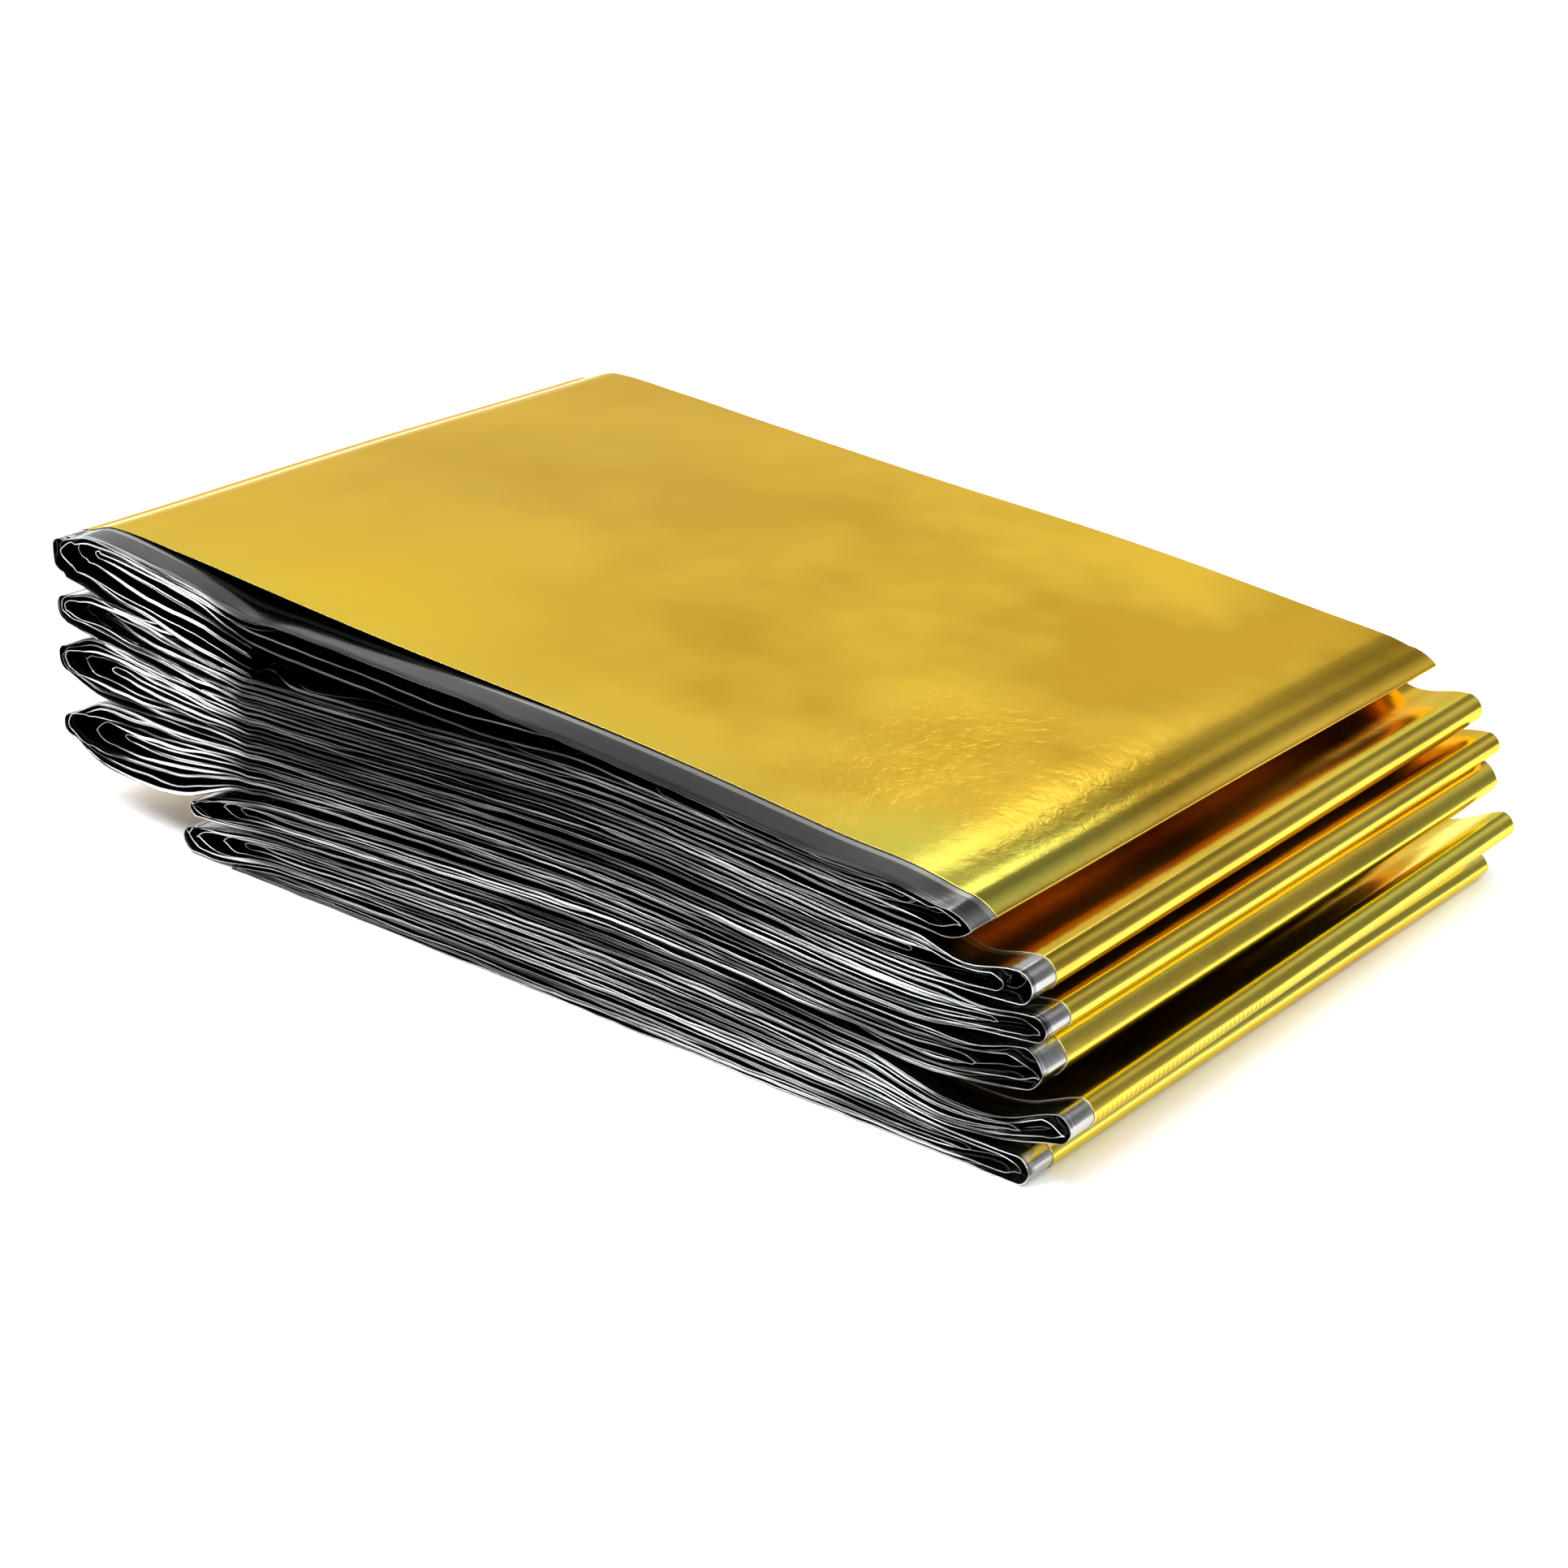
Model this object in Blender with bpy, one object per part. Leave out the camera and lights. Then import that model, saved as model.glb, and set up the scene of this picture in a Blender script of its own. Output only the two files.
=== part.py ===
"""Emergency foil blanket, folded flat as it is kept in a kit.

The thin metallised film is first folded along its length into a band of many plies,
and the band is then folded back and forth in thirteen layers. The solid is that band:
one ribbon whose section goes back and forth, a little apart, with its open wedges
at the right ends and its loose, thicker loops at the left ends.
Metres in the scene, millimetres in the tables. X is the packet's length, Y its width.
The origin is under the middle of the packet, on the surface that it rests on.
"""

from math import cos, pi, sin, sqrt

import bmesh
import bpy

MM = 0.001
WIDTH = 87.5  # width of the folded band
CENTRE_X = -66.2  # middle of the packet's length, in the tables' X
INNER_GAP = 0.4  # opening left inside each fold
FAR_DROP = 0.036  # share of its height that the packet is lower at its far side
EDGE_ROUND = 0.7  # depth of the soft rounding along both long edges
EDGE_THIN = 0.55  # share of the thickness left at the very edge
SWELL = 0.004  # slow rise and fall of the layers, as a share of the height
SWELL_LONG = 61.0  # its length along X
SWELL_WIDE = 74.0  # its length along Y
SWELL_START = 0.7  # where along Y it starts, in radians
CORNER = 4.5  # radius of the top film's rounded corner, at the far end of the upper left fold
FOLD_STEPS = 6  # faces round a fold

# Heights of each layer's upper and lower face, at five places along X.
LONG_X = (-130.0, -118.0, -105.5, -55.0, -15.0)
SHORT_X = (-111.0, -101.0, -55.0, -20.0, -9.0)
LAYERS = {
    # name: places, (top, bottom) at each place, how far the near and far edges are drawn in
    "flap": (LONG_X[:2], ((32.5, 29.4), (29.8, 27.3)), 0.3, 0.9),
    "layer_1": (
        LONG_X,
        ((34.7, 33.2), (33.7, 32.1), (31.9, 30.5), (30.0, 28.7), (26.7, 25.3)),
        0.0,
        0.0,
    ),
    "layer_2": (
        LONG_X,
        ((27.8, 25.8), (26.6, 24.4), (25.2, 23.1), (27.0, 25.0), (24.9, 23.0)),
        0.8,
        0.5,
    ),
    "layer_3": (
        LONG_X,
        ((25.4, 23.0), (24.0, 21.7), (22.7, 20.6), (24.6, 22.6), (22.4, 20.4)),
        0.4,
        0.2,
    ),
    "layer_4": (
        LONG_X,
        ((22.4, 19.3), (21.2, 18.5), (20.2, 18.1), (22.2, 20.1), (20.0, 18.0)),
        0.9,
        0.7,
    ),
    "layer_5": (
        LONG_X,
        ((18.7, 15.4), (18.0, 15.3), (17.7, 15.6), (19.7, 17.6), (17.6, 15.6)),
        0.2,
        1.0,
    ),
    "layer_6": (
        LONG_X,
        ((14.6, 11.2), (14.5, 11.7), (15.2, 13.1), (17.2, 15.1), (15.2, 13.3)),
        0.7,
        0.3,
    ),
    "layer_7": (
        LONG_X,
        ((10.7, 6.6), (11.2, 6.7), (12.7, 10.5), (14.7, 12.6), (12.9, 10.9)),
        0.3,
        0.8,
    ),
    "layer_8": (
        SHORT_X,
        ((8.4, 6.9), (10.0, 8.2), (12.2, 10.1), (10.9, 8.8), (10.6, 8.6)),
        1.0,
        0.4,
    ),
    "layer_9": (
        SHORT_X,
        ((6.4, 5.0), (7.8, 6.1), (9.7, 7.7), (8.3, 6.5), (6.3, 5.0)),
        0.5,
        0.1,
    ),
    "layer_10": (
        SHORT_X,
        ((4.5, 2.7), (5.7, 4.1), (7.3, 5.3), (6.1, 4.4), (4.6, 3.5)),
        0.9,
        0.6,
    ),
    "layer_11": (
        SHORT_X,
        ((2.3, 0.3), (3.7, 2.0), (4.9, 2.5), (4.0, 2.1), (3.1, 1.75)),
        0.1,
        0.9,
    ),
    "layer_12": (
        SHORT_X[1:],
        ((1.6, 0.0), (2.1, 0.0), (1.7, 0.0), (1.35, 0.0)),
        0.6,
        0.3,
    ),
}
# Where the band folds. Upper and lower layer, the tip's X at the near and far side, the height
# of its two outer faces where the round nose begins, and the nose's reach.
FOLDS = {
    "left_1": ("layer_1", "flap", -136.4, -136.2, 33.6, 29.2, 2.1),
    "right_1": ("layer_1", "layer_2", -7.0, -8.6, 26.0, 22.8, 3.6),
    "left_2": ("layer_2", "layer_3", -136.5, -135.6, 26.6, 23.4, 1.5),
    "right_2": ("layer_3", "layer_4", 0.0, -2.6, 22.2, 18.6, 1.8),
    "left_3": ("layer_4", "layer_5", -137.1, -136.2, 20.4, 17.0, 1.5),
    "right_3": ("layer_5", "layer_6", 1.7, -0.1, 18.2, 15.3, 1.5),
    "left_4": ("layer_6", "layer_7", -137.1, -136.6, 12.0, 9.0, 1.5),
    "right_4": ("layer_7", "layer_8", 1.5, 0.0, 14.7, 10.1, 2.3),
    "left_5": ("layer_8", "layer_9", -116.2, -117.4, 6.9, 4.7, 1.2),
    "right_5": ("layer_9", "layer_10", 4.7, 2.5, 9.1, 5.8, 1.6),
    "left_6": ("layer_10", "layer_11", -117.3, -115.9, 3.4, 0.3, 1.5),
    "right_6": ("layer_11", "layer_12", 0.3, -0.2, 3.2, 0.0, 1.6),
}
# The band's two ends, each inside the packet: X, top and bottom.
FREE_ENDS = {"flap": (-107.0, 27.3, 25.9), "layer_12": (-104.0, 1.0, 0.0)}
ORDER = ["flap", *(f"layer_{n}" for n in range(1, 13))]
BAND = list(FOLDS)  # from the flap down to the lowest layer
# The dip of the layers just inside a right fold: its depth as a share of the height above the
# face that stays where it is, that face's height, and half its length.
DIPS = {
    "right_2": (0.30, 18.4, 6.0),
    "right_3": (0.22, 15.2, 6.0),
    "right_4": (0.18, 10.1, 6.0),
    "right_5": (0.20, 3.6, 6.5),
}
# Rows of points across the band: share of the way, distance from the nearer edge, and share
# of the thickness.
ACROSS = (
    (0.0, 0.0, EDGE_THIN),
    (0.0, EDGE_ROUND, 1.0),
    (0.34, None, 1.0),
    (0.66, None, 1.0),
    (0.90, None, 1.0),
    (1.0, EDGE_ROUND, 1.0),
    (1.0, 0.0, EDGE_THIN),
)
MIDS = 1  # points added between two places of a layer


def clear_scene():
    for obj in list(bpy.data.objects):
        bpy.data.objects.remove(obj, do_unlink=True)


def curve(xs, values, x):
    """The smooth curve through the values at xs, read at x."""
    slopes = []
    for i in range(len(xs)):
        before, after = max(i - 1, 0), min(i + 1, len(xs) - 1)
        slopes.append((values[after] - values[before]) / (xs[after] - xs[before]))
    i = max(k for k in range(len(xs) - 1) if k == 0 or xs[k] <= x)
    span = xs[i + 1] - xs[i]
    t = (x - xs[i]) / span
    return (
        values[i] * (1 + 2 * t) * (1 - t) ** 2
        + values[i + 1] * t * t * (3 - 2 * t)
        + span * slopes[i] * t * (1 - t) ** 2
        - span * slopes[i + 1] * t * t * (1 - t)
    )


def fold_frame(name, share):
    """The fold's nose at this share of the way to the far side.

    Its tip, where it starts, its two outer faces and its middle height.
    """
    near, far, top, bottom, reach = FOLDS[name][2:]
    tip = near + (far - near) * share
    start = tip + reach if name.startswith("left") else tip - reach
    return tip, start, top, bottom, (top + bottom) / 2


def layer_end(layer, fold, share):
    """X, top and bottom of the layer where it meets the fold."""
    start, top, bottom, middle = fold_frame(fold, share)[1:]
    if FOLDS[fold][0] == layer:
        return start, top, middle + INNER_GAP / 2
    return start, middle - INNER_GAP / 2, bottom


def dipped(layer, x, z, share):
    """The height after the dip inside the layer's right fold."""
    for fold, (depth, held, half) in DIPS.items():
        middle = fold_frame(fold, share)[1] - half
        if layer in FOLDS[fold][:2] and abs(x - middle) < half:
            z -= (z - held) * depth * cos(pi * (x - middle) / (2 * half)) ** 2
    return z


def corner_setback(layer, x, share):
    """How far the far edge is drawn in at the top film's rounded corner."""
    if layer not in ("layer_1", "flap", "left_1"):
        return 0.0
    inside = max(CORNER - (x - fold_frame("left_1", share)[0]), 0.0)
    return CORNER - sqrt(CORNER**2 - min(inside, CORNER) ** 2)


def layer_points(layer, share):
    """(x, top, bottom) along the layer, from left to right."""
    places, heights = LAYERS[layer][:2]
    rows = [(x, top, bottom) for x, (top, bottom) in zip(places, heights)]
    for fold, row in FOLDS.items():
        if layer in row[:2]:
            rows.append(layer_end(layer, fold, share))
    if layer in FREE_ENDS:
        rows.append(FREE_ENDS[layer])
    rows.sort()
    xs, tops, bottoms = zip(*rows)
    points = []
    for i in range(len(xs) - 1):
        for step in range(MIDS + 1):
            x = xs[i] + (xs[i + 1] - xs[i]) * step / (MIDS + 1)
            faces = (dipped(layer, x, curve(xs, values, x), share) for values in (tops, bottoms))
            points.append((x, *faces))
    points.append(rows[-1])
    return points


def fold_points(name, share):
    """(outer, inner) points round the fold, from its upper layer to its lower one."""
    tip, start, top, bottom, middle = fold_frame(name, share)
    side = 1 if tip > start else -1
    points = []
    for step in range(1, FOLD_STEPS):
        angle = pi * step / FOLD_STEPS
        outer = (
            start + side * abs(tip - start) * sin(angle),
            middle + (top - bottom) / 2 * cos(angle),
        )
        inner = (
            start + side * INNER_GAP / 2 * sin(angle),
            middle + INNER_GAP / 2 * cos(angle),
        )
        points.append((outer, inner))
    return points


def ribbon(share):
    """The whole band at this share of the way to the far side.

    Each step is (side a, side b, how far the near edge is drawn in, and the far edge).
    """
    found = []
    for number, layer in enumerate(ORDER):
        near, far = LAYERS[layer][2:]
        points = layer_points(layer, share)
        rightward = number % 2 == 1
        if not rightward:
            points = points[::-1]
        for x, top, bottom in points:
            a, b = ((x, top), (x, bottom)) if rightward else ((x, bottom), (x, top))
            found.append((a, b, near, far + corner_setback(layer, x, share)))
        if number == len(ORDER) - 1:
            break
        fold = BAND[number]
        round_fold = fold_points(fold, share)
        next_near, next_far = LAYERS[ORDER[number + 1]][2:]
        if FOLDS[fold][0] != layer:
            round_fold = round_fold[::-1]
        outer_is_a = fold == "left_1" or fold.startswith("right")
        for step, (outer, inner) in enumerate(round_fold, 1):
            part = step / FOLD_STEPS
            a, b = (outer, inner) if outer_is_a else (inner, outer)
            far_here = far + (next_far - far) * part + corner_setback(fold, outer[0], share)
            found.append((a, b, near + (next_near - near) * part, far_here))
    return found


def settle(x, y, z):
    """The place of a table point in the object, with the packet's slow rise and fall."""
    wave = SWELL * sin(2 * pi * x / SWELL_LONG) * sin(2 * pi * y / SWELL_WIDE + SWELL_START)
    height = z * (1 - FAR_DROP * y / WIDTH + wave)
    return ((x - CENTRE_X) * MM, (y - WIDTH / 2) * MM, height * MM)


def build_blanket():
    mesh = bmesh.new()
    grid = []
    for share, inset, thin in ACROSS:
        row = []
        for a, b, near, far in ribbon(share):
            if inset is None:
                y = WIDTH * share
            elif share == 0.0:
                y = near + inset
            else:
                y = WIDTH - far - inset
            middle = [(a[k] + b[k]) / 2 for k in (0, 1)]
            pair = []
            for side in (a, b):
                x, z = (middle[k] + (side[k] - middle[k]) * thin for k in (0, 1))
                pair.append(mesh.verts.new(settle(x, y, z)))
            row.append(pair)
        grid.append(row)
    for across in range(len(grid) - 1):
        for along in range(len(grid[0]) - 1):
            for side in (0, 1):
                corners = [
                    grid[across][along][side],
                    grid[across][along + 1][side],
                    grid[across + 1][along + 1][side],
                    grid[across + 1][along][side],
                ]
                mesh.faces.new(corners)
        for along in (0, len(grid[0]) - 1):
            mesh.faces.new(
                (
                    grid[across][along][0],
                    grid[across][along][1],
                    grid[across + 1][along][1],
                    grid[across + 1][along][0],
                )
            )
    for across in (0, len(grid) - 1):
        for along in range(len(grid[0]) - 1):
            mesh.faces.new(
                (
                    grid[across][along][0],
                    grid[across][along][1],
                    grid[across][along + 1][1],
                    grid[across][along + 1][0],
                )
            )
    bmesh.ops.recalc_face_normals(mesh, faces=mesh.faces)
    data = bpy.data.meshes.new("foil_blanket")
    mesh.to_mesh(data)
    mesh.free()
    for face in data.polygons:
        face.use_smooth = True
    obj = bpy.data.objects.new("foil_blanket", data)
    bpy.context.scene.collection.objects.link(obj)
    return obj


def gold_film():
    material = bpy.data.materials.new("gold_film")
    material.use_nodes = True
    shader = material.node_tree.nodes["Principled BSDF"]
    shader.inputs["Base Color"].default_value = (0.74, 0.50, 0.08, 1.0)
    shader.inputs["Metallic"].default_value = 1.0
    shader.inputs["Roughness"].default_value = 0.25
    return material


clear_scene()
build_blanket().data.materials.append(gold_film())
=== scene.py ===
"""Emergency foil blanket, folded flat: gold metallised film with a bare grey margin.

The film was folded along its length into a thin band of plies, and the band back and forth
into a packet. Each strip here is one doubled leaf of film, and all of them follow the same
back-and-forth way through the packet, one inside the other at every fold. Two gold cover
plies lie on the band's two outer faces and stop short of the near edge, so that the bare
margin shows. Tables are in millimetres, with X along the packet and Y across it.
"""

from math import cos, exp, hypot, pi, radians, sin, sqrt

import bmesh
import bpy
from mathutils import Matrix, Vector, noise


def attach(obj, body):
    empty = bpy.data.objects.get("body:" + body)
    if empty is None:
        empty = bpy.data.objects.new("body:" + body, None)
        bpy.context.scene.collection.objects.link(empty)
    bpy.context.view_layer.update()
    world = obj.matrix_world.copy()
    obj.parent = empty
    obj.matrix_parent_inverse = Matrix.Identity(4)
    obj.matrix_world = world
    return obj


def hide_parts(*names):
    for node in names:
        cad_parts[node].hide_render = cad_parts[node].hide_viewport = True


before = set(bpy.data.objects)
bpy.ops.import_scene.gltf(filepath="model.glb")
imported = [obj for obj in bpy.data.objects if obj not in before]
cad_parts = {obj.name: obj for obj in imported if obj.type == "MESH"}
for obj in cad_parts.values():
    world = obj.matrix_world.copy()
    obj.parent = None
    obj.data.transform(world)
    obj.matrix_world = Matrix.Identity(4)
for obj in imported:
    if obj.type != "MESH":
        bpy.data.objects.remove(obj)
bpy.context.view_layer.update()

MM = 0.001
WIDTH = 87.5  # of the band, along Y
CENTRE_X = -66.2  # the tables' X that lies at the object's middle
INNER_GAP = 0.4  # between the two layers that meet in a fold
FAR_DROP = 0.036  # share of its height that the packet loses toward the far side
SWELL, SWELL_LONG, SWELL_WIDE = 0.004, 61.0, 74.0  # slow rise and fall, a share of the height
CORNER = 4.5  # radius of the top's far left corner

# ---- camera, at the photograph's angle and distance


def make_camera():
    data = bpy.data.cameras.new("camera")
    data.lens = 77.27
    data.sensor_width = 36.0
    data.clip_start = 0.01
    data.clip_end = 30.0
    camera = bpy.data.objects.new("camera", data)
    camera.location = (0.22184, -0.26559, 0.15942)
    camera.rotation_euler = (radians(66.35), 0.0, radians(39.76))
    bpy.context.scene.collection.objects.link(camera)
    bpy.context.scene.camera = camera


make_camera()

# ---- the band's way through the packet

LONG_X = (-130.0, -118.0, -105.5, -55.0, -15.0)
SHORT_X = (-111.0, -101.0, -55.0, -20.0, -9.0)
LAYERS = {
    # layer: places, heights of its (upper, lower) face at each place
    "flap": (LONG_X[:2], ((32.7, 29.4), (31.0, 27.5))),
    "layer_1": (LONG_X, ((34.8, 33.2), (34.1, 32.4), (33.1, 31.6), (30.1, 28.7), (26.6, 25.2))),
    "layer_2": (LONG_X, ((27.8, 25.8), (26.6, 24.4), (25.2, 23.1), (27.0, 25.0), (24.9, 23.0))),
    "layer_3": (LONG_X, ((25.4, 23.0), (24.0, 21.7), (22.7, 20.6), (24.6, 22.6), (22.4, 20.4))),
    "layer_4": (LONG_X, ((22.4, 19.3), (21.2, 18.5), (20.2, 18.1), (22.2, 20.1), (20.0, 18.0))),
    "layer_5": (LONG_X, ((18.7, 15.4), (18.0, 15.3), (17.7, 15.6), (19.7, 17.6), (17.6, 15.6))),
    "layer_6": (LONG_X, ((14.6, 11.2), (14.5, 11.7), (15.2, 13.1), (17.2, 15.1), (15.2, 13.3))),
    "layer_7": (LONG_X, ((10.7, 6.6), (11.2, 6.7), (12.7, 10.5), (14.7, 12.6), (12.9, 10.9))),
    "layer_8": (SHORT_X, ((8.4, 6.9), (10.0, 8.2), (12.2, 10.1), (10.9, 8.8), (10.6, 8.6))),
    "layer_9": (SHORT_X, ((6.4, 5.0), (7.8, 6.1), (9.7, 7.7), (8.3, 6.5), (6.3, 5.0))),
    "layer_10": (SHORT_X, ((4.5, 2.7), (5.7, 4.1), (7.3, 5.3), (6.1, 4.4), (4.6, 3.5))),
    "layer_11": (SHORT_X, ((2.3, 0.3), (3.7, 2.0), (4.9, 2.5), (4.0, 2.1), (3.1, 1.75))),
    "layer_12": (SHORT_X[1:], ((1.6, 0.0), (2.1, 0.0), (1.7, 0.0), (1.35, 0.0))),
}
FOLDS = {
    # fold: upper and lower layer, tip at the near and far side, outer faces' heights, nose's reach
    "left_1": ("layer_1", "flap", -136.4, -136.2, 33.6, 29.2, 2.1),
    "right_1": ("layer_1", "layer_2", -7.0, -8.6, 26.0, 22.8, 3.6),
    "left_2": ("layer_2", "layer_3", -136.5, -135.6, 26.6, 23.4, 1.5),
    "right_2": ("layer_3", "layer_4", 0.0, -2.6, 22.2, 18.6, 1.8),
    "left_3": ("layer_4", "layer_5", -137.1, -136.2, 20.4, 17.0, 1.5),
    "right_3": ("layer_5", "layer_6", 1.7, -0.1, 18.2, 15.3, 1.5),
    "left_4": ("layer_6", "layer_7", -137.1, -136.6, 12.0, 9.0, 1.5),
    "right_4": ("layer_7", "layer_8", 1.5, 0.0, 14.7, 10.1, 2.3),
    "left_5": ("layer_8", "layer_9", -116.2, -117.4, 6.9, 4.7, 1.2),
    "right_5": ("layer_9", "layer_10", 4.7, 2.5, 9.1, 5.8, 1.6),
    "left_6": ("layer_10", "layer_11", -117.3, -115.9, 3.4, 0.3, 1.5),
    "right_6": ("layer_11", "layer_12", 0.3, -0.2, 3.2, 0.0, 1.6),
}
FREE_ENDS = {"flap": (-103.6, 27.9, 25.6), "layer_12": (-109.5, 0.4, 0.0)}
ORDER = ["flap", *(f"layer_{n}" for n in range(1, 13))]
BAND = list(FOLDS)
DIPS = {
    # fold: depth of the dip inside it, height of the face that stays, half the dip's length
    "right_2": (0.30, 18.4, 6.0),
    "right_3": (0.22, 15.2, 6.0),
    "right_4": (0.18, 10.1, 6.0),
    "right_5": (0.20, 3.6, 6.5),
}

STEP, SPARE_STEPS = 1.25, 12  # distance between two rows along a layer, and rows beyond that
NOSE_STEPS = 14  # rows of points round a fold
SKIN = 0.14  # depth of the outer leaves' middle under the band's faces
LEAVES = 5
MARGIN = 4.3  # bare margin along the near edge
EDGE_WASH = 0.8  # thinner lacquer beside the margin
NOSES = {
    # fold: how pointed it is, the same of the leaves inside it, their reach as a share of their
    # height there, and how far inside it each leaf turns back, from the outermost in
    "left_1": (0.45, 1.0, 0.8, (0.0, 0.9, 1.9, 3.6, 6.0)),
    "right_1": (1.8, 2.4, 1.6, (0.0, 0.6, 1.4, 2.4, 4.4)),
    "left_2": (0.9, 1.3, 1.1, (0.0, 1.0, 2.6, 4.6, 7.0)),
    "right_2": (1.1, 1.3, 0.9, (0.0, 2.4, 3.3, 6.0, 12.4)),
    "left_3": (0.8, 1.3, 1.1, (0.0, 0.8, 3.0, 5.2, 8.0)),
    "right_3": (1.2, 2.2, 1.4, (0.0, 0.8, 1.7, 3.0, 5.0)),
    "left_4": (0.9, 1.3, 1.1, (0.0, 1.6, 3.4, 6.0, 9.5)),
    "right_4": (1.6, 2.2, 1.6, (0.0, 0.9, 2.2, 4.0, 7.0)),
    "left_5": (1.2, 1.8, 1.4, (0.0, 1.8, 3.0, 6.2, 8.0)),
    "right_5": (1.3, 2.6, 2.0, (0.0, 0.7, 1.8, 3.2, 5.4)),
    "left_6": (1.2, 1.8, 1.4, (0.0, 1.4, 4.6, 6.4, 9.0)),
    "right_6": (1.3, 2.2, 1.5, (0.0, 1.0, 2.2, 3.6, 6.4)),
}
# Along the top layer: how far its near edge hangs down, and how far its gold ply stands off it.
TOP_X = (-136.0, -128.0, -118.0, -112.0, -105.0, -98.0, -87.0, -76.0, -64.0, -46.0, -28.0, -8.0)
HANG = (0.1, 0.25, 0.2, 0.2, 0.3, 0.1, 0.2, 0.5, 0.6, 1.1, 0.8, 0.0)
STAND = (0.0, 0.05, 0.45, 0.95, 1.6, 1.25, 0.85, 0.4, 0.1, 0.0, 0.0, 0.0)
HANG_LONG, STAND_Y, STAND_LONG = 2.6, 8.0, 9.0  # how far in from the edge these reach
BARE_PAINT, WASH_PAINT, GOLD_PAINT = 0, 1, 2
# the ribs are only dark lines of painted shade, with no relief
RIB_SCALE = 2 * pi / 20 / 0.0008  # ribs 0.8 mm apart
SETBACKS = [
    # layer, leaf, from x, to x, how far its near edge stands back
    ("layer_1", 1, -103.0, -30.0, 5.0),
    ("layer_1", 2, -64.0, -34.0, 1.3),
    ("layer_1", 3, -103.0, -44.0, 6.0),
    ("layer_2", 4, -122.0, -94.0, 3.6),
    ("layer_2", 3, -120.0, -96.0, 2.6),
    ("layer_2", 4, -94.0, -62.0, 1.8),
    ("layer_2", 1, -60.0, -22.0, 1.5),
    ("layer_4", 2, -92.0, -50.0, 1.4),
    ("layer_5", 1, -70.0, -24.0, 1.2),
    ("layer_7", 3, -96.0, -70.0, 1.3),
    ("layer_7", 1, -44.0, -12.0, 1.6),
    ("layer_8", 2, -60.0, -16.0, 1.4),
    ("layer_9", 3, -98.0, -62.0, 1.2),
]
SAGS = [
    # layer, leaf, from x, to x, how far its near edge hangs loose in the opening under the margin
    ("layer_1", 4, -114.0, -54.0, 2.0),
    ("layer_1", 2, -114.0, -60.0, 1.1),
    ("flap", 0, -139.0, -88.0, 2.3),
    ("flap", 1, -139.0, -88.0, 1.9),
    ("flap", 2, -139.0, -88.0, 1.5),
    ("flap", 3, -139.0, -88.0, 0.8),
    ("layer_2", 0, -139.0, -104.0, 0.5),
    ("layer_3", 1, -139.0, -104.0, 0.8),
    ("layer_3", 4, -139.0, -104.0, 1.2),
]
SETBACK_SOFT, SAG_SOFT, SAG_LONG = 9.0, 16.0, 4.5  # how softly these start, and their reach
TUCK_LEFT, TUCK_RIGHT, TUCK_LONG = 0.8, 2.2, 4.0  # how far leaves are tucked back near a fold
CREASE_X, CREASE_DEEP, CREASE_HALF = -105.5, 0.22, 1.6  # sharp crease beside the left loops
CREASED = ORDER[2:8]  # the layers that the crease crosses
LOOPS_END, LOOPS_X = -150.0, -106.5  # the plies are crumpled between these
CRUMPLE, CRUMPLE_LONG = 0.4, 5.5
SHOULDER_X, SHOULDER_HALF, SHOULDER_RISE = -17.5, 5.0, 0.35  # soft ridge before the top's fold
SHOULDER_FADE = 0.85  # share of it that is gone at the far side
PLY_WAVES = ((0.45, 11, 34.0), (0.2, 5, 7.0))  # share of the room, step of the seed, length
EDGE_WAVES = ((0.3, 20, 12.0), (0.14, 40, 2.6))  # of the near edge: size, seed, length
EDGE_BACK = 0.4  # how far back the near edge lies on the whole
EDGE_FADE = 2.5  # how soon the fullness of the near edge fades across the leaf
RETREAT_VARY = 0.12  # how much the leaves' retreats in the folds change across the packet
NOSE_VARY, NOSE_LOOSE = 0.3, 0.26  # how uneven the inner leaves' noses are
NOSE_LEAST, NOSE_NEST = 0.15, 0.3  # their least reach, and the gap between one and the next
NOSE_ROOM = 0.4  # room between two leaves in a nose
BEAD_LEAST, BEAD_MOST, BEAD_PACKED = 0.045, 0.2, 3.5  # radii, and how soon they fill out
PLUMP, PLUMP_EACH, PLUMP_ALONG, PLUMP_LONG = 0.72, 0.42, 0.35, 16.0  # shares of their room
LIFT, LIFT_LONG = 0.06, 5.0  # how far the film beside a folded edge rises and falls
FAR_BACK, FAR_VARY, FAR_LONG = 0.8, 0.4, 13.0  # how far back the far edges lie, how unevenly
NO_FOLD = 99.0  # the distance given where there is no fold
LEAF_START = 1700.0  # so that no two leaves have the same unevenness


def wobble(seed, place, size):
    """A smooth value from -1 to 1 that changes over about this many millimetres."""
    return noise.noise(Vector((place / size, seed * 7.31, seed * 1.77)))


def window(x, low, high, soft):
    """1 from low to high, and a soft fall to 0 over this many millimetres inside each end."""
    t = min(1.0, max(0.0, min(x - low, high - x) / soft))
    return t * t * (3 - 2 * t)


def curve(xs, values, x):
    """The smooth curve through the values at xs, read at x."""
    slopes = []
    for i in range(len(xs)):
        before, after = max(i - 1, 0), min(i + 1, len(xs) - 1)
        slopes.append((values[after] - values[before]) / (xs[after] - xs[before]))
    i = max(k for k in range(len(xs) - 1) if k == 0 or xs[k] <= x)
    span = xs[i + 1] - xs[i]
    t = (x - xs[i]) / span
    return (
        values[i] * (1 + 2 * t) * (1 - t) ** 2
        + values[i + 1] * t * t * (3 - 2 * t)
        + span * slopes[i] * t * (1 - t) ** 2
        - span * slopes[i + 1] * t * t * (1 - t)
    )


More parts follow.
